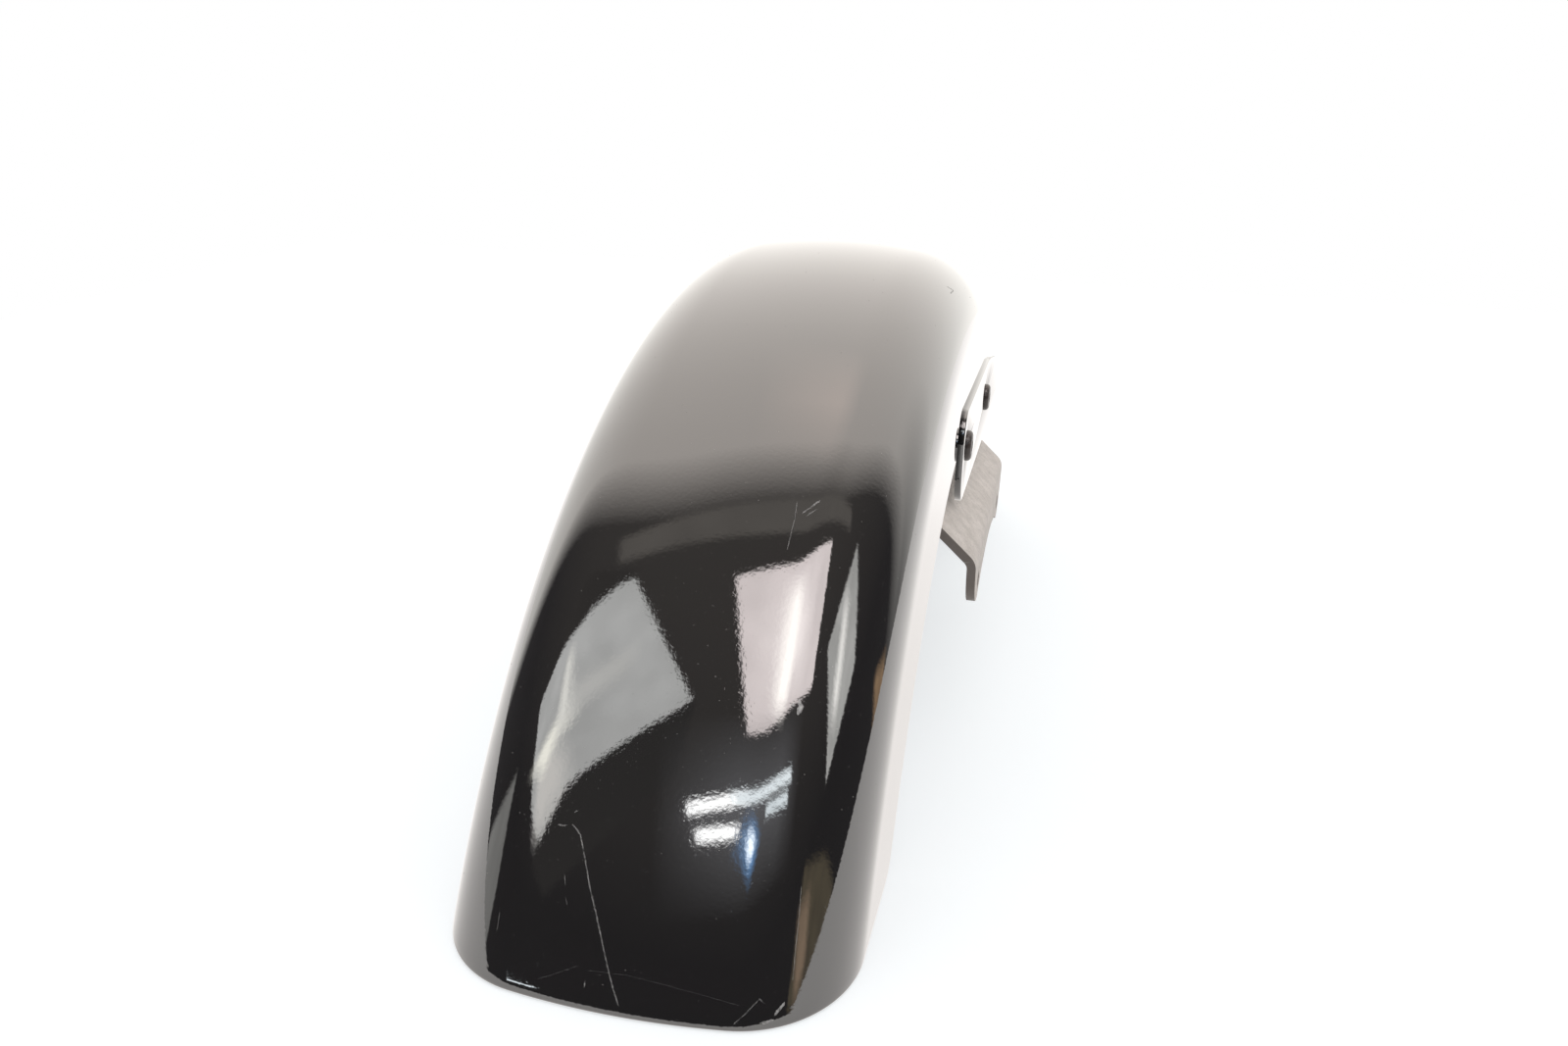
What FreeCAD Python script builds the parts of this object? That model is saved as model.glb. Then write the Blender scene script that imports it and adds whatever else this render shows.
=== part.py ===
import FreeCAD, Part
import math
import os
from FreeCAD import Vector

# Fender sheet, in millimetres and degrees, with the axle line as the wheel's centre
crown_radius = 350.0
skirt_depth = 88.0
rim_half_width = 71.0
section_crown_radius = 265.0
shoulder_radius = 40.5
skirt_flare = 0.5
arch_height = 204.3
end_corner = 14.0
sheet = 1.5
hem_width = 7.0
rim_rounding = 1.2

# Fork brackets, bent from plate
fork_offset = 0.0
fork_face_past_rim = 15.3
fork_spacing = 128.0
fork_hole = 8.5
fork_hole_drop = 60.7
fork_lobe = 9.0
bracket_overhang = 26.0
lobe_join_angle = 50.0
scallop_rise = 9.0
bracket_plate = 4.0
bracket_bend = 4.0
bracket_slope = 42.0
bend_above_fork_hole = 17.0
bracket_above_bolts = 15.0
bracket_top_corner = 13.0
bracket_gap = 0.8

# Side plates outside the skirts
plate_thickness = 3.0
plate_stand_off = 1.1
plate_ahead_of_bolt = 10.0
plate_above_bolts = 16.0
plate_below_bolts = 27.0
plate_past_bolt = 185.5
plate_fall_radius = 770.0
plate_fall_rise = 4.0
plate_front_corner = 14.0
plate_tail_corner = 4.0
plate_edge = 0.7

# Fasteners through bracket, skirt and side plate
bolt_spacing = 109.0
bolts_above_rim = 6.0
bolt_diameter = 8.0
bolt_head_diameter = 14.0
bolt_head_height = 3.0
bolt_head_rounding = 2.0
bolt_past_nut = 2.0
socket_width = 5.0
socket_depth = 2.0
bolt_clearance = 0.4
thread_clearance = 0.1
nut_width = 13.0
nut_height = 6.5
nut_chamfer = 0.8
washer_diameter = 16.0
washer_thickness = 1.6
spacer_diameter = 15.6

# Sizes that follow
rim_radius = crown_radius - skirt_depth
fork_face = rim_half_width + fork_face_past_rim
flare = math.radians(skirt_flare)
rest_height = crown_radius - arch_height
corner_wheel = rim_radius + end_corner
corner_angle = math.acos((rest_height + end_corner) / corner_wheel)
bolt_z = rim_radius + bolts_above_rim
fork_z = bolt_z - fork_hole_drop
bolt_ys = {"front": fork_offset - bolt_spacing / 2, "rear": fork_offset + bolt_spacing / 2}
fork_ys = (fork_offset - fork_spacing / 2, fork_offset + fork_spacing / 2)
bracket_front = fork_ys[0] - bracket_overhang
bracket_rear = fork_ys[1] + bracket_overhang
bracket_top = bolt_z + bracket_above_bolts
trim = 10.0
wide = 2 * max(rim_half_width, fork_face) + 4 * trim
across = Vector(1, 0, 0)
axle = Vector(0, 0, 0)


def skirt_x(radius, depth):
    # Half width of the skirt at a radius, a given depth below its outside
    return rim_half_width - (radius - rim_radius) * math.tan(flare) - depth / math.cos(flare)


def line(start, stop):
    return Part.LineSegment(start, stop).toShape()


def arc(start, middle, stop):
    return Part.Arc(start, middle, stop).toShape()


def at(radius, angle):
    # A point in the wheel's plane, the angle running from the top towards the rear
    return Vector(0, radius * math.sin(angle), radius * math.cos(angle))


def flip(point):
    return Vector(-point.x, -point.y, point.z)


def bar(diameter, start, stop, y, z):
    return Part.makeCylinder(diameter / 2, stop - start, Vector(start, y, z), across)


def hexagon(width, start, stop, y, z):
    corner = width / 2 / math.cos(math.pi / 6)
    turns = [k * math.pi / 3 for k in range(7)]
    points = [Vector(start, y + corner * math.sin(a), z + corner * math.cos(a)) for a in turns]
    return Part.Face(Part.makePolygon(points)).extrude(across * (stop - start))


# Cross-section: crown arc, shoulder arcs and straight skirts, each tangent to the next
skirt_out = Vector(math.cos(flare), 0, math.sin(flare))
skirt_up = Vector(-math.sin(flare), 0, math.cos(flare))
crown_centre = Vector(0, 0, crown_radius - section_crown_radius)
skirt_line = Vector(rim_half_width, 0, rim_radius).dot(skirt_out)
foot = skirt_out * (skirt_line - shoulder_radius)
lean = (foot - crown_centre).dot(skirt_up)
reach = section_crown_radius - shoulder_radius
climb = math.sqrt(lean ** 2 - (foot - crown_centre).Length ** 2 + reach ** 2) - lean
shoulder_centre = foot + skirt_up * climb
crown_out = (shoulder_centre - crown_centre).normalize()
shoulder_out = (crown_out + skirt_out).normalize()

# Faces that the pieces at the side share
bracket_reach = math.hypot(max(abs(bracket_front), abs(bracket_rear)), bracket_top)
bracket_face = min(skirt_x(rim_radius, 2 * sheet), skirt_x(bracket_reach, sheet)) - bracket_gap
plate_inner = max(shoulder_centre.x + shoulder_radius, rim_half_width) + plate_stand_off
plate_outer = plate_inner + plate_thickness
bracket_inner = bracket_face - bracket_plate
washer_inner = bracket_inner - washer_thickness
nut_inner = washer_inner - nut_height
bolt_end = nut_inner - bolt_past_nut


def section_edges(depth):
    radius = shoulder_radius - depth
    crown_end = shoulder_centre + crown_out * radius
    middle = shoulder_centre + shoulder_out * radius
    skirt_top = shoulder_centre + skirt_out * radius
    skirt_low = skirt_top - skirt_up * ((skirt_top.z - rim_radius + trim) / math.cos(flare))
    apex = Vector(0, 0, crown_radius - depth)
    edges = [
        line(flip(skirt_low), flip(skirt_top)),
        arc(flip(skirt_top), flip(middle), flip(crown_end)),
        arc(flip(crown_end), apex, crown_end),
        arc(crown_end, middle, skirt_top),
        line(skirt_top, skirt_low),
    ]
    return edges, flip(skirt_low), skirt_low


def band(outer_depth, inner_depth):
    # The section between two depths, turned about the axle line
    outer, outer_left, outer_right = section_edges(outer_depth)
    inner, inner_left, inner_right = section_edges(inner_depth)
    loop = outer + [line(outer_right, inner_right)] + inner + [line(inner_left, outer_left)]
    face = Part.Face(Part.Wire(Part.__sortEdges__(loop)))
    span = math.degrees(math.acos(rest_height / crown_radius)) + trim
    face.rotate(axle, across, span)
    return face.revolve(axle, across, -2 * span)


def sector(inset):
    # The side outline with its level ends, drawn in by an even margin, as a block across the whole width
    radius = end_corner - inset
    past = crown_radius + trim
    floor = rest_height + inset
    down = Vector(0, 0, -1)
    centre = at(corner_wheel, corner_angle)
    low = at(rim_radius + inset, corner_angle)
    side = centre + down * radius
    middle = centre + (down - at(1, corner_angle)).normalize() * radius
    top = at(past, math.acos(floor / past))
    loop = [
        arc(flip(low), at(rim_radius + inset, 0), low),
        arc(low, middle, side),
        line(side, top),
        arc(top, at(past, 0), flip(top)),
        line(flip(top), flip(side)),
        arc(flip(side), flip(middle), flip(low)),
    ]
    face = Part.Face(Part.Wire(loop))
    face.translate(Vector(-wide / 2, 0, 0))
    return face.extrude(Vector(wide, 0, 0))


def across_free(face):
    # True for the faces that run straight across, which make up the rim
    low_u, high_u, low_v, high_v = face.ParameterRange
    spots = [(low_u, low_v), (high_u, high_v)]
    return all(abs(face.normalAt(u, v).x) < 1e-4 for u, v in spots)


def round_rim(sheet_metal):
    # Rounds both edges of the rim, all the way round
    uses = {}
    for face in filter(across_free, sheet_metal.Faces):
        for edge in face.Edges:
            uses.setdefault(edge.hashCode(), []).append(edge)
    free = [found[0] for found in uses.values() if len(found) == 1]
    return sheet_metal.makeFillet(rim_rounding, free)


def make_shell():
    double = round_rim(band(0, 2 * sheet).common(sector(0)))
    pocket = band(sheet, 4 * sheet).common(sector(hem_width))
    shell = double.cut(pocket)
    for side in (-1, 1):
        for y in bolt_ys.values():
            start = min(0, side * wide / 2)
            shell = shell.cut(bar(bolt_diameter + 2 * bolt_clearance, start, start + wide / 2, y, bolt_z))
    return shell


def inwards(way):
    return Vector(way.z, 0, -way.x)


def bent_section(points, bend, thickness):
    # A plate's section: its outer line through the points, with one inner radius at every bend
    ways = [(then - here).normalize() for here, then in zip(points, points[1:])]
    edges = []
    place = points[0]
    for here, before, after in zip(points[1:], ways, ways[1:]):
        into = inwards(before) * thickness
        turn = 1 if before.x * after.z > before.z * after.x else -1
        radius = bend if turn > 0 else bend + thickness
        tangent = radius * math.tan(before.getAngle(after) / 2)
        start, stop = here - before * tangent, here + after * tangent
        centre = start - inwards(before) * (turn * radius)
        towards = (here - centre).normalize()
        inner_middle = centre + towards * (radius + turn * thickness)
        edges += [line(place, start), arc(start, centre + towards * radius, stop)]
        edges += [line(place + into, start + into)]
        edges += [arc(start + into, inner_middle, stop + inwards(after) * thickness)]
        place = stop
    first, last = points[0], points[-1]
    first_into, last_into = inwards(ways[0]) * thickness, inwards(ways[-1]) * thickness
    edges += [line(place, last), line(place + last_into, last + last_into)]
    edges += [line(first, first + first_into), line(last, last + last_into)]
    return Part.Face(Part.Wire(Part.__sortEdges__(edges)))


def lobe_point(y, turn):
    return Vector(0, y + fork_lobe * math.cos(turn), fork_z + fork_lobe * math.sin(turn))


def bracket_outline():
    # Seen from the side: rounded corners, a lobe under each fork hole and a scallop between them
    join = math.radians(lobe_join_angle)
    front, rear = fork_ys
    bottom = fork_z - fork_lobe
    top_front, top_rear = Vector(0, bracket_front, bracket_top), Vector(0, bracket_rear, bracket_top)
    low_front, low_rear = Vector(0, bracket_front, bottom), Vector(0, bracket_rear, bottom)
    top_down, top_in = Vector(0, 0, -bracket_top_corner), Vector(0, bracket_top_corner, 0)
    low_up, low_in = Vector(0, 0, bracket_overhang), Vector(0, bracket_overhang, 0)
    round_off = 1 - math.sqrt(0.5)
    front_in, rear_in = lobe_point(front, -join), lobe_point(rear, join - math.pi)
    front_low = lobe_point(front, -math.pi / 4 - join / 2)
    rear_low = lobe_point(rear, join / 2 - 3 * math.pi / 4)
    scallop = Vector(0, fork_offset, front_in.z + scallop_rise)
    loop = [
        line(low_front + low_up, top_front + top_down),
        arc(top_front + top_down, top_front + (top_down + top_in) * round_off, top_front + top_in),
        line(top_front + top_in, top_rear - top_in),
        arc(top_rear - top_in, top_rear + (top_down - top_in) * round_off, top_rear + top_down),
        line(top_rear + top_down, low_rear + low_up),
        arc(low_rear + low_up, low_rear + (low_up - low_in) * round_off, low_rear - low_in),
        arc(low_rear - low_in, rear_low, rear_in),
        arc(rear_in, scallop, front_in),
        arc(front_in, front_low, low_front + low_in),
        arc(low_front + low_in, low_front + (low_up + low_in) * round_off, low_front + low_up),
    ]
    return Part.Face(Part.Wire(loop)).extrude(Vector(wide / 2, 0, 0))


def make_bracket():
    low_bend = fork_z + bend_above_fork_hole
    high_bend = low_bend + (fork_face - bracket_face) * math.tan(math.radians(bracket_slope))
    points = [
        Vector(bracket_face, 0, bracket_top + trim),
        Vector(bracket_face, 0, high_bend),
        Vector(fork_face, 0, low_bend),
        Vector(fork_face, 0, fork_z - fork_lobe - trim),
    ]
    section = bent_section(points, bracket_bend, bracket_plate)
    section.translate(Vector(0, bracket_front - trim, 0))
    strip = section.extrude(Vector(0, bracket_rear - bracket_front + 2 * trim, 0))
    bracket = strip.common(bracket_outline())
    for y in bolt_ys.values():
        bracket = bracket.cut(bar(bolt_diameter + 2 * bolt_clearance, 0, fork_face, y, bolt_z))
    for y in fork_ys:
        bracket = bracket.cut(bar(fork_hole, bracket_face, fork_face + trim, y, fork_z))
    return bracket


def straight_across(edge):
    span = edge.Vertexes[-1].Point - edge.Vertexes[0].Point
    return abs(span.y) + abs(span.z) < 1e-6 and abs(span.x) > 1e-6


def make_side_plate():
    # A level strip whose top falls to the rear along a wide arc
    front, rear = bolt_ys["front"] - plate_ahead_of_bolt, bolt_ys["rear"] + plate_past_bolt
    low, high = bolt_z - plate_below_bolts, bolt_z + plate_above_bolts
    strip = Part.makeBox(plate_thickness, rear - front, high - low, Vector(plate_inner, front, low))
    fall_centre = high + plate_fall_rise - plate_fall_radius
    fall = bar(2 * plate_fall_radius, plate_inner - trim, plate_outer + trim, fork_offset, fall_centre)
    plate = strip.common(fall)
    corners = [e for e in plate.Edges if straight_across(e)]
    front_corners = [e for e in corners if e.CenterOfMass.y < front + plate_thickness]
    plate = plate.makeFillet(plate_front_corner, front_corners)
    corners = [e for e in plate.Edges if straight_across(e)]
    tail_corners = [e for e in corners if e.CenterOfMass.y > rear - plate_thickness]
    plate = plate.makeFillet(plate_tail_corner, tail_corners)
    face_edges = [e for e in plate.Edges if e.BoundBox.XMin > plate_outer - 1e-6]
    plate = plate.makeFillet(plate_edge, face_edges)
    for y in bolt_ys.values():
        plate = plate.cut(bar(bolt_diameter + 2 * bolt_clearance, plate_inner, plate_outer, y, bolt_z))
    return plate


def make_bolt(y):
    head_top = plate_outer + bolt_head_height
    head = bar(bolt_head_diameter, plate_outer, head_top, y, bolt_z)
    rounded = [e for e in head.Edges if e.BoundBox.XMin > head_top - 1e-6]
    head = head.makeFillet(bolt_head_rounding, rounded)
    head = head.cut(hexagon(socket_width, head_top - socket_depth, head_top, y, bolt_z))
    return head.fuse(bar(bolt_diameter, bolt_end, plate_outer, y, bolt_z)).removeSplitter()


def make_nut(y):
    blank = bar(nut_width / math.cos(math.pi / 6), nut_inner, washer_inner, y, bolt_z)
    rims = [e for e in blank.Edges if e.BoundBox.XLength < 1e-6]
    blank = blank.makeChamfer(nut_chamfer, rims)
    nut = blank.common(hexagon(nut_width, nut_inner, washer_inner, y, bolt_z))
    return nut.cut(bar(bolt_diameter + 2 * thread_clearance, nut_inner, washer_inner, y, bolt_z))


def make_washer(y):
    disc = bar(washer_diameter, washer_inner, bracket_inner, y, bolt_z)
    return disc.cut(bar(bolt_diameter + 2 * bolt_clearance, washer_inner, bracket_inner, y, bolt_z))


def make_spacer(start, stop, y, neighbour):
    # A ring with one face shaped to the skirt that it presses on
    ring = bar(spacer_diameter, start, stop, y, bolt_z)
    ring = ring.cut(bar(bolt_diameter + 2 * bolt_clearance, start, stop, y, bolt_z))
    return ring.cut(neighbour)


fender_shell = make_shell()
skirt_inside = band(0, 2 * spacer_diameter)
skirt_outside = band(-2 * spacer_diameter, sheet).fuse(fender_shell)
pieces = {"fork_bracket": make_bracket(), "side_plate": make_side_plate()}
for name, y in bolt_ys.items():
    pieces[name + "_bolt"] = make_bolt(y)
    pieces[name + "_nut"] = make_nut(y)
    pieces[name + "_washer"] = make_washer(y)
    pieces[name + "_outer_spacer"] = make_spacer(bracket_face, plate_inner, y, skirt_inside)
    pieces[name + "_inner_spacer"] = make_spacer(bracket_face, plate_inner, y, skirt_outside)

os.makedirs("parts", exist_ok=True)
nodes = {"fender_shell": fender_shell}
for name, shape in pieces.items():
    nodes["left_" + name] = shape
    nodes["right_" + name] = shape.mirror(axle, across)
for name, shape in nodes.items():
    shape.translate(Vector(0, 0, -rest_height))
    shape.exportStep("parts/" + name + ".step")
    solids = len(shape.Solids)
    print(name, "solids", solids, "valid", shape.isValid(), "volume", round(shape.Volume, 1))
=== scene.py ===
import bpy
import math
import random
from mathutils import Matrix, Vector


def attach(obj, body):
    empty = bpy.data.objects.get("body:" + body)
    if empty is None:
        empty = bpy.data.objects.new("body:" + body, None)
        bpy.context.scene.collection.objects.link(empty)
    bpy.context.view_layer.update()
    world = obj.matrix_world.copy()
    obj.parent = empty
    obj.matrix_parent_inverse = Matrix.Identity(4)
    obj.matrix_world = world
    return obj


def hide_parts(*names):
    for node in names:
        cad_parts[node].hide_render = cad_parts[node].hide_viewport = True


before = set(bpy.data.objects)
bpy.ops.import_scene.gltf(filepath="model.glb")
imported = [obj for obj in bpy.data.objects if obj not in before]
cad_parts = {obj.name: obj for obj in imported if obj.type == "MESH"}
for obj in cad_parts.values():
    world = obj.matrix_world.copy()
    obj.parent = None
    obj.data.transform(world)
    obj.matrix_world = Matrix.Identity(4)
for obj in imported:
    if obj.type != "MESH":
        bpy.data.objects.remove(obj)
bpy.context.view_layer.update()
scene = bpy.context.scene
scene.view_settings.view_transform = "Standard"
print("stage: frame loaded")


# one shader value; the operators add the maths nodes
class Value:
    def __init__(self, tree, socket):
        self.tree, self.socket = tree, socket

    def math(self, operation, *others):
        node = self.tree.nodes.new("ShaderNodeMath")
        node.operation = operation
        for place, item in zip(node.inputs, (self,) + others):
            feed(self.tree, place, item)
        return Value(self.tree, node.outputs[0])

    def __add__(self, other): return self.math("ADD", other)
    def __radd__(self, other): return self.math("ADD", other)
    def __sub__(self, other): return self.math("SUBTRACT", other)
    def __rsub__(self, other): return (self * -1).math("ADD", other)
    def __mul__(self, other): return self.math("MULTIPLY", other)
    def __rmul__(self, other): return self.math("MULTIPLY", other)

    def clamp(self): return self.above(0.0, 1.0)

    # 0 up to the start, 1 from the stop on
    def above(self, start, stop):
        node = self.tree.nodes.new("ShaderNodeMapRange")
        for place, item in zip(node.inputs, (self, start, stop)):
            feed(self.tree, place, item)
        return Value(self.tree, node.outputs[0])

    def dot(self, way):
        node = self.tree.nodes.new("ShaderNodeVectorMath")
        node.operation = "DOT_PRODUCT"
        feed(self.tree, node.inputs[0], self)
        feed(self.tree, node.inputs[1], way)
        return Value(self.tree, node.outputs["Value"])


def feed(tree, place, item):
    if isinstance(item, Value):
        tree.links.new(item.socket, place)
    else:
        place.default_value = item


class Shader:
    def __init__(self, tree):
        self.tree = tree
        tree.nodes.clear()

    # adds a node of a type with its settings and sockets; the output is picked by name or number
    def node(self, kind, settings, sockets, output=0):
        made = self.tree.nodes.new("ShaderNode" + kind)
        for name, setting in settings.items():
            setattr(made, name, setting)
        for name, item in sockets.items():
            feed(self.tree, made.inputs[name], item)
        return Value(self.tree, made.outputs[output]) if made.outputs else made

    # the colour sockets of a Mix node share their names, so they go by number
    def mixColor(self, factor, first, second):
        made = self.tree.nodes.new("ShaderNodeMix")
        made.data_type = "RGBA"
        feed(self.tree, made.inputs[0], factor)
        feed(self.tree, made.inputs[6], first)
        feed(self.tree, made.inputs[7], second)
        return Value(self.tree, made.outputs[2])

    def noise(self, place, scale, detail=3.0, roughness=0.5):
        sockets = {"Vector": place, "Scale": scale, "Detail": detail, "Roughness": roughness}
        return self.node("TexNoise", {}, sockets, "Fac")

    def parts(self, vector):
        made = self.tree.nodes.new("ShaderNodeSeparateXYZ")
        feed(self.tree, made.inputs[0], vector)
        return [Value(self.tree, out) for out in made.outputs]


def rgb(red, green, blue):
    return (red, green, blue, 1.0)


def newMaterial(name):
    made = bpy.data.materials.new(name)
    made.use_nodes = True
    shader = Shader(made.node_tree)
    return made, shader, shader.node("TexCoord", {}, {}, "Object")


def close(shader, surface):
    shader.node("OutputMaterial", {}, {"Surface": surface})


# gloss black paint: dark base, hard clear coat, faint orange peel, haze and dust
paintLook = {"base": rgb(0.005, 0.0047, 0.0048), "dust": rgb(0.04, 0.037, 0.035),
             "ior": 1.95, "rough": 0.025, "coatIor": 1.55, "coatRough": 0.015,
             "peelScale": 700, "peelHeight": 0.000016,
             "hazeScale": 16, "hazeRange": (0.48, 0.8), "hazeDust": 0.10, "hazeRough": 0.04,
             "speckScale": 900, "speckRange": (0.74, 0.78), "speckDust": 0.35, "speckRough": 0.2}


def glossPaint():
    made, shader, place = newMaterial("glossBlackPaint")
    look = paintLook
    haze = shader.noise(place, look["hazeScale"], detail=4, roughness=0.6).above(*look["hazeRange"])
    specks = shader.noise(place, look["speckScale"], detail=1).above(*look["speckRange"])
    peel = shader.noise(place, look["peelScale"], detail=2)
    bump = shader.node("Bump", {}, {"Height": peel, "Distance": look["peelHeight"], "Strength": 1.0})
    dusty = (haze * look["hazeDust"] + specks * look["speckDust"]).clamp()
    close(shader, shader.node("BsdfPrincipled", {}, {
        "Base Color": shader.mixColor(dusty, look["base"], look["dust"]),
        "Roughness": haze * look["hazeRough"] + look["rough"] + specks * look["speckRough"],
        "IOR": look["ior"], "Coat Weight": 1.0, "Coat Roughness": look["coatRough"],
        "Coat IOR": look["coatIor"], "Normal": bump}))
    return made


# worn grey bracket paint: speckle, rubbed patches, and painted shade: a darker brown on the plate's cut edges
# the "cut" colour is painted shade for the plate's cut edges, not a colour of the steel
bracketLook = {"face": rgb(0.53, 0.48, 0.44), "rubbed": rgb(0.68, 0.62, 0.575),
               "cut": rgb(0.25, 0.215, 0.195), "speck": rgb(0.24, 0.20, 0.175), "ior": 1.45, "rough": 0.38,
               "grainScale": 420, "grainHeight": 0.00012, "grainStrength": 0.5, "grainRough": 0.25,
               "patchScale": 130, "patchRange": (0.38, 0.66),
               "speckScale": 1300, "speckRange": (0.58, 0.70), "speckShare": 0.65,
               "cutShadeRange": (0.12, 0.45), "levelRange": (0.94, 0.98), "levelShare": 0.35, "cutShadeShare": 0.92}


def wornBracket():
    made, shader, place = newMaterial("wornBracketPaint")
    look = bracketLook
    normal = shader.parts(shader.node("NewGeometry", {}, {}, "Normal"))
    sideways = normal[0].math("ABSOLUTE")
    level = normal[2].math("ABSOLUTE")
    grain = shader.noise(place, look["grainScale"], detail=3, roughness=0.7)
    patches = shader.noise(place, look["patchScale"], detail=4, roughness=0.75).above(*look["patchRange"])
    specks = shader.noise(place, look["speckScale"], detail=2, roughness=0.6).above(*look["speckRange"])
    color = shader.mixColor(patches, look["face"], look["rubbed"])
    color = shader.mixColor(specks * look["speckShare"], color, look["speck"])
    # painted shade: faces that lie across the plate (its cut edges) get the darker brown, less where they
    # face up or down
    cutEdgeShade = 1 - sideways.above(*look["cutShadeRange"])
    cutEdgeShade = cutEdgeShade * (1 - level.above(*look["levelRange"]) * look["levelShare"])
    color = shader.mixColor(cutEdgeShade * look["cutShadeShare"], color, look["cut"])
    bump = shader.node("Bump", {}, {"Height": grain, "Distance": look["grainHeight"],
                                    "Strength": look["grainStrength"]})
    close(shader, shader.node("BsdfPrincipled", {}, {
        "Base Color": color, "Roughness": grain * look["grainRough"] + look["rough"], "IOR": look["ior"],
        "Normal": bump}))
    return made


# dark bolts, and dull zinc for nuts and washers
boltLook = {"face": rgb(0.052, 0.04, 0.036), "worn": rgb(0.16, 0.13, 0.12), "ior": 1.5, "rough": 0.3,
            "wearScale": 500, "wearRange": (0.5, 0.7), "wearShare": 0.5, "wearRough": 0.2}
zincLook = {"face": rgb(0.52, 0.52, 0.53), "tarnish": rgb(0.24, 0.22, 0.20), "stainScale": 300,
            "stainRange": (0.4, 0.7), "rough": 0.3, "stainRough": 0.2}


def darkBolt():
    made, shader, place = newMaterial("darkBolt")
    wear = shader.noise(place, boltLook["wearScale"], detail=3, roughness=0.6).above(*boltLook["wearRange"])
    close(shader, shader.node("BsdfPrincipled", {}, {
        "Base Color": shader.mixColor(wear * boltLook["wearShare"], boltLook["face"], boltLook["worn"]),
        "Roughness": wear * boltLook["wearRough"] + boltLook["rough"], "IOR": boltLook["ior"]}))
    return made


def dullZinc():
    made, shader, place = newMaterial("dullZinc")
    stain = shader.noise(place, zincLook["stainScale"], detail=4, roughness=0.6)
    stain = stain.above(*zincLook["stainRange"])
    close(shader, shader.node("BsdfPrincipled", {}, {
        "Base Color": shader.mixColor(stain, zincLook["face"], zincLook["tarnish"]),
        "Roughness": stain * zincLook["stainRough"] + zincLook["rough"], "Metallic": 1.0}))
    return made


paint, bracketPaint, boltFinish, zinc = glossPaint(), wornBracket(), darkBolt(), dullZinc()
print("stage: materials made")

# fender sheet in millimetres about the axle, the same section and ends as the CAD solid;
# it is tucked just inside the solid, and its mesh is closer towards the ends and the rim
sheetSize = {"crown": 350.0, "rim": 262.0, "rimHalf": 71.0, "sectionCrown": 265.0, "shoulder": 40.5,
             "flare": math.radians(0.5), "cut": 145.7, "corner": 14.0, "thick": 1.5, "hem": 7.0,
             "edge": 1.2, "nip": 0.4, "tuck": 0.05,
             "edgeSteps": 5, "crownSteps": 16, "shoulderSteps": 24, "skirtSteps": 14, "skirtEase": 1.6,
             "alongSteps": 230, "endCrowd": 0.25}
perMetre = 1000  # millimetres in a metre


# centres of the crown's and the shoulder's arcs, as half width and radius
def sectionCentres():
    flare = sheetSize["flare"]
    out = Vector((math.cos(flare), math.sin(flare)))
    up = Vector((-math.sin(flare), math.cos(flare)))
    crownCentre = Vector((0, sheetSize["crown"] - sheetSize["sectionCrown"]))
    foot = out * (Vector((sheetSize["rimHalf"], sheetSize["rim"])).dot(out) - sheetSize["shoulder"])
    lean = (foot - crownCentre).dot(up)
    reach = sheetSize["sectionCrown"] - sheetSize["shoulder"]
    climb = math.sqrt(lean ** 2 - (foot - crownCentre).length_squared + reach ** 2) - lean
    return crownCentre, foot + up * climb


crownAt, shoulderAt = sectionCentres()
crownTurn = math.atan2(shoulderAt.x, shoulderAt.y - crownAt.y)
skirtTurn = math.pi / 2 - sheetSize["flare"]


# how far the section's outside has turned over at a place 0 to 3 (crown, shoulder, skirt)
def tiltAt(place):
    if place <= 1:
        return crownTurn * place
    return crownTurn + (skirtTurn - crownTurn) * min(place - 1, 1)


# half width and radius of the section at a place, a depth below the outside
def sectionPoint(place, depth, rim):
    turn, depth = tiltAt(place), depth + sheetSize["tuck"]
    if place <= 1:
        radius, centre = sheetSize["sectionCrown"] - depth, crownAt
    else:
        radius, centre = sheetSize["shoulder"] - depth, shoulderAt
    point = centre + Vector((math.sin(turn), math.cos(turn))) * radius
    if place > 2:
        flare = sheetSize["flare"]
        across = sheetSize["rimHalf"] - (rim - sheetSize["rim"]) * math.tan(flare) - depth / math.cos(flare)
        point = point.lerp(Vector((across, rim)), place - 2)
    return point


# how far round the wheel the sheet reaches at a radius, with its rounded lower corners
def endTurn(radius, inset):
    corner, rim = sheetSize["corner"] - inset, sheetSize["rim"] + inset
    wheel = sheetSize["rim"] + sheetSize["corner"]
    cornerTurn = math.acos((sheetSize["cut"] + sheetSize["corner"]) / wheel)
    flat = math.hypot(wheel * math.sin(cornerTurn), sheetSize["cut"] + inset)
    if radius >= flat:
        return math.acos((sheetSize["cut"] + inset) / radius)
    share = (radius ** 2 + wheel ** 2 - corner ** 2) / (2 * max(radius, rim) * wheel)
    return cornerTurn + math.acos(min(share, 1.0))


# a point of the sheet in metres; along runs from -1 to 1, end to end
def sheetPoint(place, along, inset, depth):
    point = sectionPoint(abs(place), depth, sheetSize["rim"] + inset)
    turn = along * endTurn(point.y, inset)
    side = math.copysign(point.x, place) if place else 0.0
    height = point.y * math.cos(turn) - sheetSize["cut"]
    return (side / perMetre, point.y * math.sin(turn) / perMetre, height / perMetre)


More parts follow.
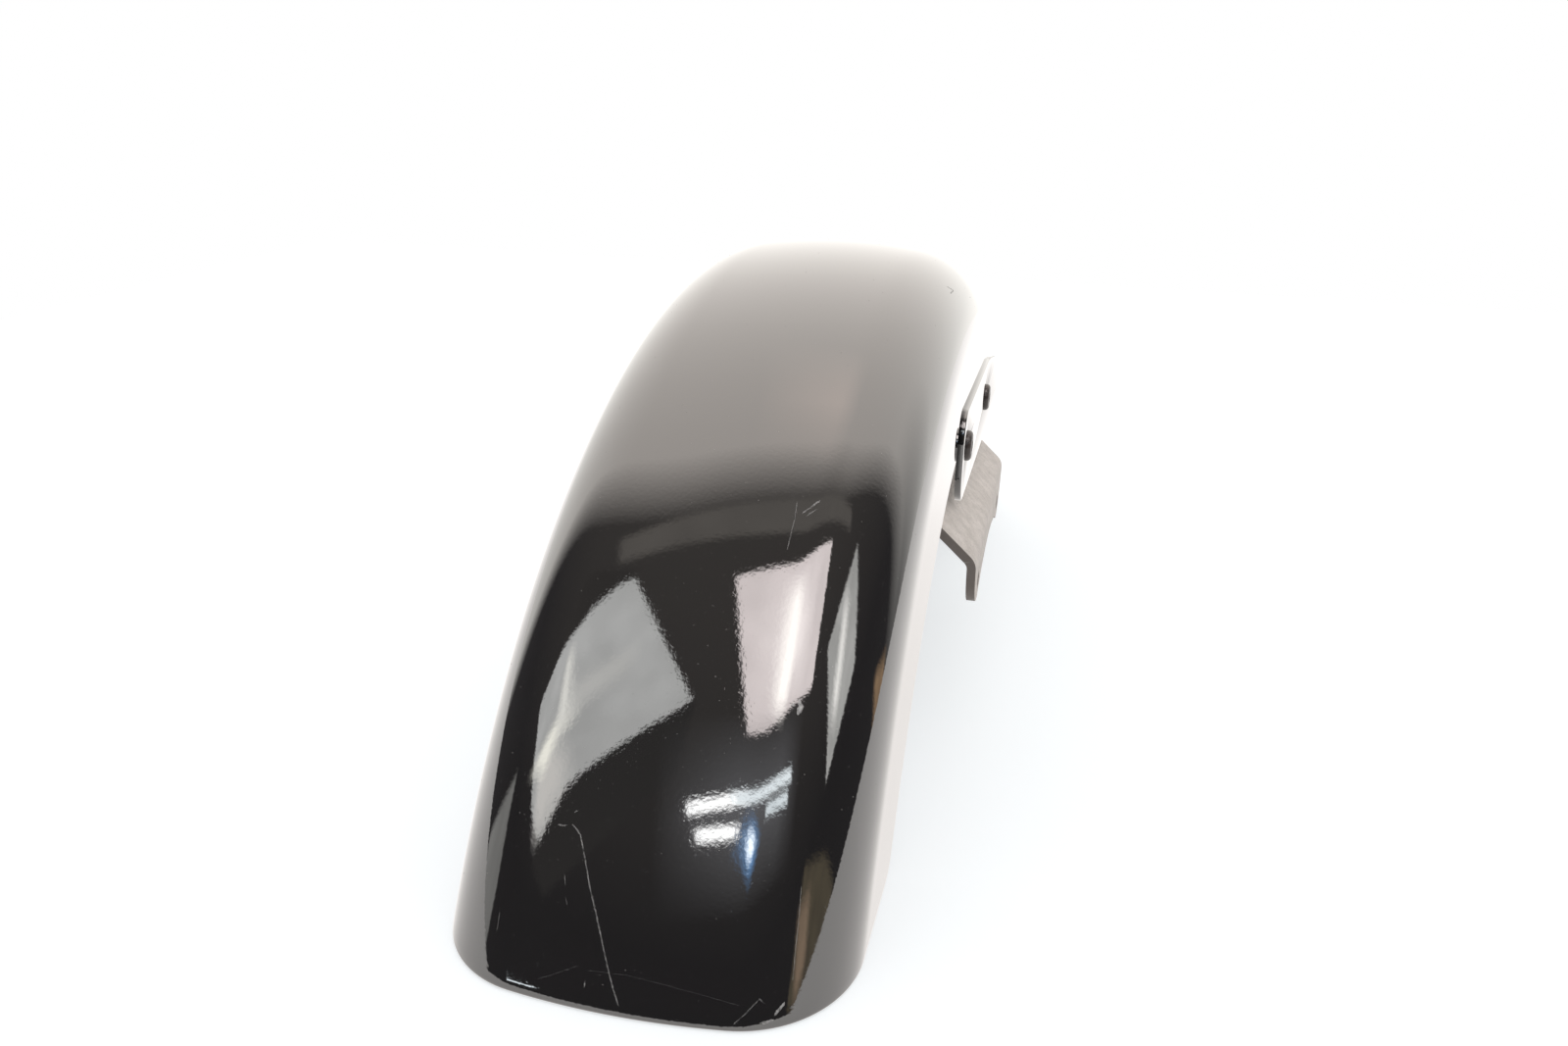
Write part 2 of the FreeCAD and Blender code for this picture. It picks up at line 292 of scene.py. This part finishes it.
# the rounded rim as pairs of inset and depth, from the outside round to the hem's edge
def rimRings(place):
    edge, thick, hem, nip = sheetSize["edge"], 2 * sheetSize["thick"], sheetSize["hem"], sheetSize["nip"]
    radius = sectionPoint(abs(place), 0.0, sheetSize["rim"]).y
    outer = math.acos(-math.cos(tiltAt(abs(place))) * sheetSize["cut"] / radius)
    inner = math.pi - outer
    shares = [k / sheetSize["edgeSteps"] for k in range(sheetSize["edgeSteps"] + 1)]

    def drop(turn):
        return edge * (1 - math.cos(turn))

    rings = [(drop(outer * (1 - s)), drop(outer * s)) for s in shares]
    rings += [(drop(inner * s), thick - drop(inner * (1 - s))) for s in shares]
    return rings + [(hem - nip, thick), (hem, thick - nip), (hem, sheetSize["thick"])]


# places across one half of the section, from beside the middle out to the rim
def halfPlaces():
    crown, shoulder, skirt = (sheetSize[k] for k in ("crownSteps", "shoulderSteps", "skirtSteps"))
    half = [k / crown for k in range(1, crown + 1)]
    half += [1 + k / shoulder for k in range(1, shoulder + 1)]
    return half + [2 + (1 - (1 - k / skirt) ** sheetSize["skirtEase"]) for k in range(1, skirt + 1)]


def makeShell():
    half = halfPlaces()
    places = [-p for p in reversed(half)] + [0.0] + half
    steps, crowd = sheetSize["alongSteps"], sheetSize["endCrowd"]
    even = [2 * k / steps - 1 for k in range(steps + 1)]
    alongs = [math.sin(math.pi / 2 * u) * crowd + (1 - crowd) * u for u in even]
    wide, tall = len(places), len(alongs)
    rimLoop = [(i, 0) for i in range(wide)] + [(wide - 1, j) for j in range(1, tall)]
    rimLoop += [(i, tall - 1) for i in range(wide - 2, -1, -1)] + [(0, j) for j in range(tall - 2, 0, -1)]
    rings = [rimRings(p) for p in places]
    verts, faces = [], []

    # one wall of the sheet, out to the given ring of its rim
    def grid(ring, outside):
        start = len(verts)
        for along in alongs:
            verts.extend(sheetPoint(p, along, *rings[i][ring]) for i, p in enumerate(places))
        for j in range(tall - 1):
            for i in range(wide - 1):
                near = start + j * wide + i
                far = near + wide
                quad = [near, near + 1, far + 1, far]
                faces.append(quad if outside else quad[::-1])
        return [start + j * wide + i for i, j in rimLoop]

    before = grid(0, True)
    after = grid(-1, False)
    for k in range(1, len(rings[0]) - 1):
        start = len(verts)
        verts.extend(sheetPoint(places[i], alongs[j], *rings[i][k]) for i, j in rimLoop)
        ring = list(range(start, len(verts)))
        stitch(faces, before, ring)
        before = ring
    stitch(faces, before, after)
    return meshPiece("fenderSheet", verts, faces, paint)


def stitch(faces, first, second):
    for k in range(len(first)):
        n = (k + 1) % len(first)
        faces.append([first[k], second[k], second[n], first[n]])


# mesh edges that turn more than this keep their crease
creaseAngle = math.radians(40)


def meshPiece(name, verts, faces, material):
    mesh = bpy.data.meshes.new(name)
    mesh.from_pydata(verts, [], faces)
    mesh.materials.append(material)
    mesh.shade_smooth()
    mesh.set_sharp_from_angle(angle=creaseAngle)
    piece = bpy.data.objects.new(name, mesh)
    scene.collection.objects.link(piece)
    return piece


# a plain mesh from an object with its modifiers worked out
def bakedMesh(piece):
    return bpy.data.meshes.new_from_object(piece.evaluated_get(bpy.context.evaluated_depsgraph_get()))


shell = makeShell()
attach(shell, "root")
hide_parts("fender_shell")
print("stage: fender sheet", len(shell.data.polygons))

# the other pieces: copies of the solids, joined up, with small softened edges (finish, slot, edge in metres)
pieceLook = {"fork_bracket": (bracketPaint, "grey_plate", 0.0005),
             "side_plate": (paint, "gloss_black_paint", 0.0002),
             "bolt": (boltFinish, "black_bolt", 0.0003), "nut": (zinc, "zinc_fastener", 0.0002),
             "washer": (zinc, "zinc_fastener", 0.0002), "spacer": (paint, "gloss_black_paint", 0.0003)}
softening = {"joinWithin": 0.00001, "softenAbove": math.radians(35), "segments": 2, "cleanWithin": 0.000003,
             "creaseAngle": math.radians(30)}


def softCopy(node, name, material, width):
    piece = node.copy()
    piece.data = node.data.copy()
    piece.name = name
    scene.collection.objects.link(piece)
    piece.parent = None
    piece.matrix_world = Matrix.Identity(4)
    piece.data.materials.clear()
    piece.data.materials.append(material)
    bevel = {"width": width, "segments": softening["segments"], "angle_limit": softening["softenAbove"],
             "use_clamp_overlap": True, "harden_normals": False}
    for kind, settings in (("WELD", {"merge_threshold": softening["joinWithin"]}), ("BEVEL", bevel),
                           ("WELD", {"merge_threshold": softening["cleanWithin"]})):
        made = piece.modifiers.new(kind, kind)
        for key, setting in settings.items():
            setattr(made, key, setting)
    solid = bakedMesh(piece)
    piece.modifiers.clear()
    piece.data = solid
    solid.shade_smooth()
    solid.set_sharp_from_angle(angle=softening["creaseAngle"])
    return piece


for nodeName in sorted(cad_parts):
    for ending, (material, slotName, width) in pieceLook.items():
        if nodeName.endswith(ending):
            piece = softCopy(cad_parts[nodeName], nodeName + "_look", material, width)
            piece.visible_glossy = False  # keeps the reflections in the flat skirt plain
            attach(piece, "root")
            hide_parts(nodeName)
print("stage: bracket, plates and fasteners")

# scratches and chips: width in mm, strength, then places (mm across, degrees round from the top)
marks = {
    "main": (0.5, 0.45, (
        (-22.6, -56.3), (-19.1, -56.8), (-16.0, -58.0), (-12.9, -59.3), (-9.5, -60.5), (-6.4, -61.7),
        (-3.1, -63.0), (-0.3, -64.0), (2.0, -64.7))),
    "startA": (0.8, 0.75, ((-22.6, -55.75), (-21.4, -55.62))),
    "startB": (0.6, 0.5, ((-27.5, -56.47), (-25.7, -56.48), (-24.1, -56.44))),
    "scuffA": (0.7, 0.55, ((31.5, -37.04), (34.2, -36.45), (37.0, -35.84))),
    "scuffB": (0.5, 0.4, ((33.0, -37.19), (36.4, -36.51))),
    "trail": (0.4, 0.3, ((28.9, -36.28), (29.6, -37.52), (29.5, -38.54), (29.4, -39.66))),
    "chipA": (1.2, 0.9, ((40.5, -48.6), (41.6, -48.4))),
    "chipB": (1.5, 0.95, ((42.6, -48.15), (43.6, -48.5), (43.2, -49.0))),
    "edgeLine": (0.3, 0.35, ((51.9, -57.6), (52.5, -59.4), (52.6, -60.6), (53.0, -62.3))),
    "tickA": (0.3, 0.4, ((-22.0, -58.88), (-21.1, -59.4))),
    "tickB": (0.3, 0.4, ((-20.4, -59.97), (-19.3, -60.38))),
    "tickC": (0.4, 0.5, ((-9.7, -63.78), (-9.7, -64.17))),
    "hairA": (0.2, 0.13, ((-25.6, -64.2), (-18.7, -63.66), (-12.7, -63.15))),
    "hairB": (0.2, 0.09, ((-9.3, -63.29), (3.4, -63.18), (16.0, -63.33), (28.3, -63.54), (38.9, -63.76))),
    "hairC": (0.35, 0.4, ((37.6, -64.7), (41.1, -64.05), (44.3, -63.33), (45.9, -63.55))),
    "lowChip": (1.0, 0.85, ((49.0, -64.08), (50.7, -63.68), (51.6, -63.39))),
    "edgeChip": (0.8, 0.7, ((45.2, -64.5), (47.6, -64.39), (49.2, -64.27))),
    "leftLine": (0.3, 0.3, ((-42.3, -61.31), (-42.2, -62.31))),
    "farMark": (0.5, 0.8, ((58.5, -4.2), (61.2, -3.1), (60.8, -4.7))),
}
markLook = {"bare": rgb(0.60, 0.58, 0.56), "primer": rgb(0.34, 0.33, 0.33), "rough": 0.4,
            "grainScale": 900, "grainRange": (0.35, 0.65), "grainRough": 0.3,
            "gapScale": 520, "gapRange": (0.30, 0.55), "gapLeft": 0.2,
            "lift": 0.03, "step": 0.35, "perDegree": 6.1, "seed": 7,
            "tip": 0.3, "taper": 3, "thinnest": 0.15, "uneven": (0.55, 1.15), "wander": 0.12}


def bareMetal():
    made, shader, place = newMaterial("scratchedPaint")
    look = markLook
    grain = shader.noise(place, look["grainScale"], detail=3, roughness=0.7)
    gaps = shader.noise(place, look["gapScale"], detail=3, roughness=0.6).above(*look["gapRange"])
    gaps = gaps * (1 - look["gapLeft"]) + look["gapLeft"]
    strength = shader.node("Attribute", {"attribute_name": "wear"}, {}, "Fac")
    close(shader, shader.node("BsdfPrincipled", {}, {
        "Base Color": shader.mixColor(grain.above(*look["grainRange"]), look["primer"], look["bare"]),
        "Roughness": grain * look["grainRough"] + look["rough"], "Alpha": gaps * strength}))
    return made


# a point in metres, from mm across, degrees round from the top and mm above the sheet
def onSheet(across, degrees, lift):
    half = abs(across)
    if half <= sheetSize["sectionCrown"] * math.sin(crownTurn):
        place = math.asin(half / sheetSize["sectionCrown"]) / crownTurn
    else:
        turn = math.asin(min((half - shoulderAt.x) / sheetSize["shoulder"], 1.0))
        place = 1 + (turn - crownTurn) / (skirtTurn - crownTurn)
    point = sectionPoint(place, -lift, sheetSize["rim"])
    turn = math.radians(degrees)
    side = math.copysign(point.x, across)
    return Vector((side, point.y * math.sin(turn), point.y * math.cos(turn) - sheetSize["cut"])) / perMetre


# a mark's points with short steps between them
def finePath(points):
    path = []
    for (x0, t0), (x1, t1) in zip(points, points[1:]):
        count = max(2, int(math.hypot(x1 - x0, (t1 - t0) * markLook["perDegree"]) / markLook["step"]))
        path += [(x0 + (x1 - x0) * k / count, t0 + (t1 - t0) * k / count) for k in range(count)]
    return path + [points[-1]]


# each mark is a thin uneven ribbon that tapers at both ends
def makeMarks():
    chance = random.Random(markLook["seed"])
    perDegree, tip, taper, wander = (markLook[k] for k in ("perDegree", "tip", "taper", "wander"))
    verts, faces, wear = [], [], []
    for width, strength, points in marks.values():
        path = finePath(points)
        start = len(verts)
        for k, (across, degrees) in enumerate(path):
            ahead, behind = path[min(k + 1, len(path) - 1)], path[max(k - 1, 0)]
            along = Vector((ahead[0] - behind[0], (ahead[1] - behind[1]) * perDegree)).normalized()
            end = min(1.0, (k + tip) / taper, (len(path) - k - (1 - tip)) / taper)
            half = width / 2 * max(end, markLook["thinnest"]) * chance.uniform(*markLook["uneven"])
            shift = chance.uniform(-wander, wander) * width
            for sign in (1, -1):
                off = sign * half + shift
                beside = (across - along.y * off, degrees + along.x * off / perDegree)
                verts.append(onSheet(*beside, markLook["lift"]))
                wear.append(strength)
        for k in range(len(path) - 1):
            i = start + 2 * k
            faces.append((i, i + 1, i + 3, i + 2))
    scratches = meshPiece("scratches", verts, faces, bareMetal())
    scratches.data.attributes.new("wear", "FLOAT", "POINT").data.foreach_set("value", wear)
    return scratches


# dust lies on the outer sheet: small grains set out by geometry nodes, clear of ends, top and skirts (metres)
dustLook = {"density": 3600.0, "size": 0.00016, "smallest": 0.25, "seed": 4,
            "color": rgb(0.34, 0.32, 0.30), "pale": rgb(0.5, 0.48, 0.45), "paleScale": 40, "rough": 0.8,
            "fromFloor": 0.006, "fromTop": 0.001, "halfWidth": 0.069}


def dustMaterial():
    made, shader, place = newMaterial("dust")
    pale = shader.noise(place, dustLook["paleScale"], detail=2)
    color = shader.mixColor(pale, dustLook["color"], dustLook["pale"])
    close(shader, shader.node("BsdfPrincipled", {}, {"Base Color": color, "Roughness": dustLook["rough"]}))
    return made


def dustNodes(material):
    tree = bpy.data.node_groups.new("dustOnSheet", "GeometryNodeTree")
    sockets = {}
    for name, kind in (("Geometry", "NodeSocketGeometry"), ("Density", "NodeSocketFloat"),
                       ("Size", "NodeSocketFloat"), ("Seed", "NodeSocketInt")):
        sockets[name] = tree.interface.new_socket(name, in_out="INPUT", socket_type=kind).identifier
    tree.interface.new_socket("Geometry", in_out="OUTPUT", socket_type="NodeSocketGeometry")

    def node(kind, links, settings=None):
        made = tree.nodes.new(kind)
        for key, setting in (settings or {}).items():
            setattr(made, key, setting)
        for key, item in links.items():
            if hasattr(item, "is_output"):
                tree.links.new(item, made.inputs[key])
            else:
                made.inputs[key].default_value = item
        return made

    given = tree.nodes.new("NodeGroupInput").outputs
    dusty = node("GeometryNodeInputNamedAttribute", {"Name": "dusty"}, {"data_type": "FLOAT"})
    amount = node("ShaderNodeMath", {0: given["Density"], 1: dusty.outputs["Attribute"]},
                  {"operation": "MULTIPLY"})
    points = node("GeometryNodeDistributePointsOnFaces", {
        "Mesh": given["Geometry"], "Density": amount.outputs[0], "Seed": given["Seed"]})
    grain = node("GeometryNodeMeshIcoSphere", {"Radius": given["Size"], "Subdivisions": 1})
    scale = node("FunctionNodeRandomValue", {2: dustLook["smallest"], 3: 1.0}, {"data_type": "FLOAT"})
    placed = node("GeometryNodeInstanceOnPoints", {
        "Points": points.outputs["Points"], "Instance": grain.outputs["Mesh"], "Scale": scale.outputs[1]})
    solid = node("GeometryNodeRealizeInstances", {"Geometry": placed.outputs[0]})
    painted = node("GeometryNodeSetMaterial", {"Geometry": solid.outputs[0], "Material": material})
    node("NodeGroupOutput", {"Geometry": painted.outputs[0]})
    return tree, sockets


def makeDust():
    verts = [v.co for v in shell.data.vertices]
    faces = [p.vertices[:] for p in shell.data.polygons]
    source = meshPiece("dustGrains", verts, faces, paint)
    dusty = source.data.attributes.new("dusty", "FLOAT", "POINT")
    # the outer wall's points come first
    outside = (2 * len(halfPlaces()) + 1) * (sheetSize["alongSteps"] + 1)
    highest = (sheetSize["crown"] - sheetSize["cut"]) / perMetre - dustLook["fromTop"]
    for k, vert in enumerate(source.data.vertices):
        level = dustLook["fromFloor"] < vert.co.z < highest
        dusty.data[k].value = 1.0 if k < outside and level and abs(vert.co.x) < dustLook["halfWidth"] else 0.0
    tree, sockets = dustNodes(dustMaterial())
    made = source.modifiers.new("dust", "NODES")
    made.node_group = tree
    made[sockets["Density"]] = dustLook["density"]
    made[sockets["Size"]] = dustLook["size"]
    made[sockets["Seed"]] = dustLook["seed"]
    grains = bakedMesh(source)
    source.modifiers.clear()
    source.data = grains
    return source


for piece in (makeMarks(), makeDust()):
    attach(piece, "root")
    print("stage:", piece.name, len(piece.data.polygons))

# studio: white tent over the far side, a dark room with lit panels behind the camera
studio = {"tentLow": rgb(1.15, 1.12, 1.07), "tentHigh": rgb(1.82, 1.68, 1.57), "tentEdge": (-0.01, 0.2),
          "tentLean": 0.2, "tentBow": 1.2, "bowFrom": 0.3,
          "roomLow": rgb(0.078, 0.073, 0.076), "roomHigh": rgb(0.2, 0.182, 0.17), "roomRise": (0.3, 0.95),
          "rightFrom": (0.55, 0.75), "rightRise": (-0.05, 0.5), "rightDim": 0.75,
          "softNear": rgb(0.72, 0.72, 0.73), "softFar": rgb(1.25, 1.24, 1.22), "softRange": (-0.4, 0.4),
          "streakScale": 7, "streakRange": (0.7, 0.3)}
# each panel: colour, softness of its edge, how streaky, corners as directions seen from the fender;
# it fills the overlap of the half spaces inside its edges
panels = {
    "tentLamp": (rgb(2.3, 2.02, 1.85), 0.12, 0.0, (
        (-0.10, 0.46, 0.88), (0.10, 0.46, 0.88), (0.12, 0.24, 0.96), (-0.08, 0.22, 0.97))),
    "ceiling": (rgb(0.50, 0.46, 0.42), 0.012, 0.2, (
        (-0.50, -0.11, 0.86), (0.53, 0.12, 0.84), (0.58, 0.08, 0.81), (-0.03, -0.12, 0.99),
        (-0.49, -0.18, 0.85))),
    "window": (rgb(2.55, 2.56, 2.52), 0.006, 0.2, (
        (-0.439, -0.234, 0.867), (-0.195, -0.568, 0.8), (-0.583, -0.72, 0.379), (-0.711, -0.557, 0.429),
        (-0.83, -0.365, 0.422), (-0.856, -0.273, 0.44))),
    "windowLow": (rgb(3.3, 3.2, 3.05), 0.04, 0.0, (
        (-0.65, -0.62, 0.44), (-0.68, -0.54, 0.5), (-0.56, -0.57, 0.6), (-0.52, -0.64, 0.565),
        (-0.57, -0.71, 0.41))),
    "streakLow": (rgb(5.2, 5.1, 4.6), 0.03, 0.0, (
        (-0.77, -0.47, 0.44), (-0.60, -0.50, 0.62), (-0.545, -0.51, 0.665), (-0.62, -0.59, 0.52))),
    "streakUp": (rgb(4.3, 4.25, 4.0), 0.03, 0.0, (
        (-0.59, -0.54, 0.60), (-0.635, -0.345, 0.69), (-0.60, -0.355, 0.717), (-0.54, -0.52, 0.66))),
    "streakAcross": (rgb(3.0, 2.97, 2.85), 0.03, 0.0, (
        (-0.557, -0.47, 0.685), (-0.4, -0.43, 0.81), (-0.4, -0.46, 0.79), (-0.55, -0.51, 0.66))),
    "windowHead": (rgb(0.15, 0.137, 0.13), 0.01, 0.0, (
        (-0.42, -0.215, 0.88), (-0.485, -0.252, 0.838), (-0.565, -0.308, 0.765), (-0.66, -0.292, 0.69),
        (-0.76, -0.26, 0.595), (-0.64, -0.15, 0.75))),
    "windowSill": (rgb(0.13, 0.122, 0.118), 0.006, 0.0, (
        (-0.18, -0.565, 0.805), (-0.327, -0.615, 0.717), (-0.449, -0.639, 0.624), (-0.522, -0.657, 0.545),
        (-0.563, -0.7, 0.437), (-0.585, -0.724, 0.372), (-0.53, -0.79, 0.32), (-0.2, -0.72, 0.66))),
    "softbox": (rgb(4.4, 3.95, 3.9), 0.006, 0.15, (
        (-0.14, -0.26, 0.96), (0.40, -0.05, 0.92), (0.56, -0.38, 0.73), (0.00, -0.64, 0.77))),
    "softboxBand": (rgb(5.9, 5.4, 5.3), 0.09, 0.2, (
        (0.00, -0.33, 0.94), (0.27, -0.22, 0.94), (0.40, -0.42, 0.81), (0.06, -0.52, 0.85))),
    "softboxStreak": (rgb(7.4, 7.0, 6.7), 0.045, 0.0, (
        (0.05, -0.27, 0.96), (0.14, -0.25, 0.96), (0.23, -0.40, 0.885), (0.23, -0.56, 0.795),
        (0.08, -0.57, 0.815))),
    "sideLight": (rgb(2.5, 2.48, 2.4), 0.01, 0.3, (
        (0.69, 0.12, 0.71), (0.92, 0.08, 0.39), (0.92, -0.03, 0.38), (0.91, -0.24, 0.35),
        (0.66, -0.22, 0.72))),
    "sideStreak": (rgb(5.2, 5.1, 4.9), 0.04, 0.0, (
        (0.72, -0.02, 0.69), (0.77, 0.0, 0.64), (0.88, -0.15, 0.45), (0.83, -0.19, 0.52))),
    "glow": (rgb(0.6, 0.6, 0.63), 0.13, 0.0, (
        (-0.14, -0.70, 0.70), (0.45, -0.55, 0.70), (0.55, -0.66, 0.52), (-0.10, -0.86, 0.50))),
    "tubeLeftA": (rgb(9.0, 9.0, 9.0), 0.012, 0.0, (
        (-0.15, -0.765, 0.625), (0.03, -0.74, 0.67), (0.04, -0.755, 0.65), (-0.14, -0.785, 0.605))),
    "tubeLeftB": (rgb(9.0, 9.0, 9.0), 0.012, 0.0, (
        (-0.11, -0.81, 0.58), (0.02, -0.795, 0.605), (0.02, -0.815, 0.58), (-0.10, -0.83, 0.56))),
    "tubeRightA": (rgb(5.0, 5.4, 5.6), 0.012, 0.0, (
        (-0.02, -0.745, 0.665), (0.49, -0.585, 0.65), (0.52, -0.595, 0.62), (0.00, -0.765, 0.645))),
    "tubeRightB": (rgb(4.4, 4.8, 5.0), 0.012, 0.0, (
        (0.20, -0.745, 0.64), (0.49, -0.625, 0.61), (0.52, -0.635, 0.58), (0.22, -0.76, 0.62))),
    "flashRim": (rgb(0.9, 2.0, 3.8), 0.035, 0.0, (
        (0.06, -0.785, 0.615), (0.17, -0.80, 0.57), (0.13, -0.86, 0.50), (0.04, -0.83, 0.55))),
    "flash": (rgb(7.5, 8.2, 8.8), 0.02, 0.0, (
        (0.07, -0.80, 0.60), (0.14, -0.81, 0.57), (0.10, -0.84, 0.53), (0.06, -0.82, 0.57))),
    "curtain": (rgb(0.42, 0.35, 0.24), 0.015, 0.5, (
        (0.84, -0.46, 0.30), (0.98, -0.17, 0.14), (1.0, -0.01, -0.03), (0.98, -0.18, -0.11),
        (0.82, -0.57, 0.02))),
    "curtainFold": (rgb(1.15, 0.83, 0.58), 0.03, 0.2, (
        (0.84, -0.51, 0.21), (0.91, -0.38, 0.19), (0.93, -0.37, 0.02), (0.87, -0.49, 0.0))),
    "door": (rgb(1.3, 0.85, 0.5), 0.02, 0.5, (
        (0.91, 0.41, 0.06), (0.83, 0.55, -0.03), (0.83, 0.55, -0.12), (0.88, 0.46, -0.09))),
    "shelf": (rgb(0.86, 0.85, 0.82), 0.015, 0.2, (
        (-1.0, -0.03, -0.02), (-0.93, -0.26, 0.27), (-0.905, -0.40, 0.12), (-0.90, -0.43, -0.07),
        (-0.97, -0.23, -0.11))),
    "rimLight": (rgb(4.6, 5.0, 5.2), 0.006, 0.0, (
        (-0.62, -0.78, 0.105), (-0.50, -0.86, 0.115), (-0.51, -0.855, 0.085), (-0.61, -0.79, 0.07))),
}


def makeWorld():
    world = bpy.data.worlds.new("studio")
    scene.world = world
    world.use_nodes = True
    shader = Shader(world.node_tree)
    way = shader.node("TexCoord", {}, {}, "Generated")
    x, y, z = shader.parts(way)
    aside = (x.math("ABSOLUTE") - studio["bowFrom"]).math("MAXIMUM", 0.0)
    tent = (y - x * studio["tentLean"] - aside * aside * studio["tentBow"]).above(*studio["tentEdge"])
    dim = x.above(*studio["rightFrom"]) * (1 - z.above(*studio["rightRise"])) * studio["rightDim"]
    light = shader.mixColor(z.clamp(), studio["tentLow"], studio["tentHigh"])
    room = shader.mixColor(z.above(*studio["roomRise"]), studio["roomLow"], studio["roomHigh"])
    light = shader.mixColor(tent * (1 - dim), room, light)
    streaks = shader.noise(way, studio["streakScale"], detail=2).above(*studio["streakRange"])
    for color, soft, streaky, corners in panels.values():
        middle = sum((Vector(c) for c in corners), Vector())
        inside = 1 - streaks * streaky if streaky else 1.0
        for here, then in zip(corners, corners[1:] + corners[:1]):
            side = Vector(here).cross(Vector(then)).normalized()
            side = side if side.dot(middle) > 0 else -side
            inside = way.dot(side).above(-soft, soft) * inside
        light = shader.mixColor(inside, light, color)
    mirrored = shader.node("Background", {}, {"Color": light, "Strength": 1.0})
    gradient = shader.mixColor(y.above(*studio["softRange"]), studio["softNear"], studio["softFar"])
    plain = shader.node("Background", {}, {"Color": gradient, "Strength": 1.0})
    behind = shader.node("Background", {}, {"Color": rgb(1, 1, 1), "Strength": 1.0})
    diffuseRay = shader.node("LightPath", {}, {}, "Is Diffuse Ray")
    cameraRay = shader.node("LightPath", {}, {}, "Is Camera Ray")
    lit = shader.node("MixShader", {}, {0: diffuseRay, 1: mirrored, 2: plain})
    shown = shader.node("MixShader", {}, {0: cameraRay, 1: lit, 2: behind})
    shader.node("OutputWorld", {}, {"Surface": shown})
    world.cycles.sampling_method = "NONE"  # diffuse light is a plain gradient, with nothing to aim at


# pale floor: a glow lifts it to white for the camera and in reflections, and it keeps the shadow
floorLook = {"corners": ((-0.8, -1.0), (0.72, -1.0), (1.3, 1.6), (-1.3, 1.6)),
             "color": rgb(0.52, 0.525, 0.53), "mottle": rgb(0.7, 0.7, 0.7),
             "mottleScale": 3, "mottleShare": 0.05,
             "glow": rgb(0.59, 0.61, 0.62), "mirroredGlow": rgb(0.70, 0.66, 0.63)}


def makeFloor():
    made, shader, place = newMaterial("paleFloor")
    mottle = shader.noise(place, floorLook["mottleScale"], detail=2) * floorLook["mottleShare"]
    color = shader.mixColor(mottle, floorLook["color"], floorLook["mottle"])
    diffuse = shader.node("BsdfDiffuse", {}, {"Color": color})
    cameraRay = shader.node("LightPath", {}, {}, "Is Camera Ray")
    glossyRay = shader.node("LightPath", {}, {}, "Is Glossy Ray")
    mirrored = (glossyRay + shader.node("LightPath", {}, {}, "Is Transmission Ray")).clamp()
    seen = shader.mixColor(cameraRay, rgb(0, 0, 0), floorLook["glow"])
    glow = shader.mixColor(mirrored, seen, floorLook["mirroredGlow"])
    emission = shader.node("Emission", {}, {"Color": glow, "Strength": 1.0})
    close(shader, shader.node("AddShader", {}, {0: diffuse, 1: emission}))
    floor = meshPiece("floor", [(x, y, 0) for x, y in floorLook["corners"]], [(0, 1, 2, 3)], made)


makeWorld()
makeFloor()
print("stage: studio")

# camera: place in metres, turns in degrees, lens and sensor in millimetres
view = {"place": (0.11484, -0.61891, 0.26494), "pitch": 18.088, "yaw": 12.341, "roll": 1.908, "lens": 28.954,
        "sensor": 36.0}


def makeCamera():
    made = bpy.data.cameras.new("camera")
    made.lens, made.sensor_width = view["lens"], view["sensor"]
    camera = bpy.data.objects.new("camera", made)
    scene.collection.objects.link(camera)
    yaw, pitch, roll = (math.radians(view[k]) for k in ("yaw", "pitch", "roll"))
    turn = Matrix.Rotation(yaw, 4, "Z") @ Matrix.Rotation(math.pi / 2 - pitch, 4, "X")
    turn = turn @ Matrix.Rotation(roll, 4, "Z")
    camera.matrix_world = Matrix.Translation(view["place"]) @ turn
    scene.camera = camera


makeCamera()
print("stage: done")
